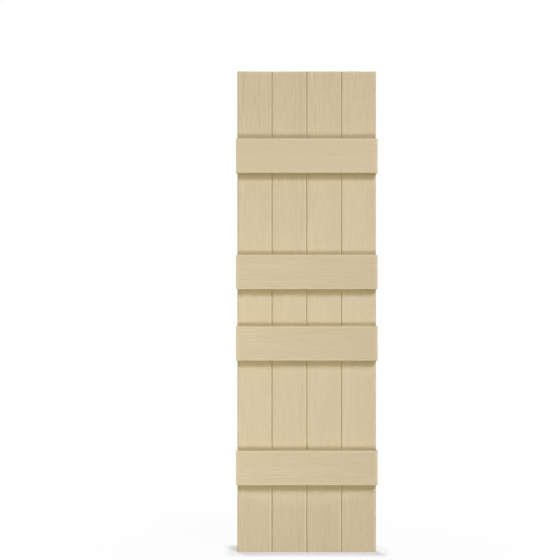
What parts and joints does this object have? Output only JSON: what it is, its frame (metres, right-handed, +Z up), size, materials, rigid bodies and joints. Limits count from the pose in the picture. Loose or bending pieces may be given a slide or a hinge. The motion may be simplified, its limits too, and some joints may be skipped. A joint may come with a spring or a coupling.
{
  "type": "board and batten shutter",
  "caption": "Tall flat window shutter of upright joined boards with battens across the face, wood-grain embossed in tan, fixed flat to a wall beside a window.",
  "frame": {"origin": "centre of the wall face, which is the flat back of the boards", "axes": "+X to the right seen from the front, +Y into the wall, +Z up along the boards; the battens are on the -Y side"},
  "size_m": [0.3796, 0.038, 1.295],
  "materials": {
    "board": "tan, coloured through, with wood grain embossed along the board, low sheen",
    "batten": "tan, coloured through, with wood grain embossed along the batten, low sheen",
    "screw": "dull zinc-plated steel"
  },
  "bodies": {
    "root": {"board_outer_left": "board", "board_inner_left": "board", "board_inner_right": "board", "board_outer_right": "board", "batten_top": "batten", "batten_upper_middle": "batten", "batten_lower_middle": "batten", "batten_bottom": "batten", "screw_top_outer_left": "screw", "screw_top_inner_left": "screw", "screw_top_inner_right": "screw", "screw_top_outer_right": "screw", "screw_upper_middle_outer_left": "screw", "screw_upper_middle_inner_left": "screw", "screw_upper_middle_inner_right": "screw", "screw_upper_middle_outer_right": "screw", "screw_lower_middle_outer_left": "screw", "screw_lower_middle_inner_left": "screw", "screw_lower_middle_inner_right": "screw", "screw_lower_middle_outer_right": "screw", "screw_bottom_outer_left": "screw", "screw_bottom_inner_left": "screw", "screw_bottom_inner_right": "screw", "screw_bottom_outer_right": "screw"}
  },
  "joints": []
}
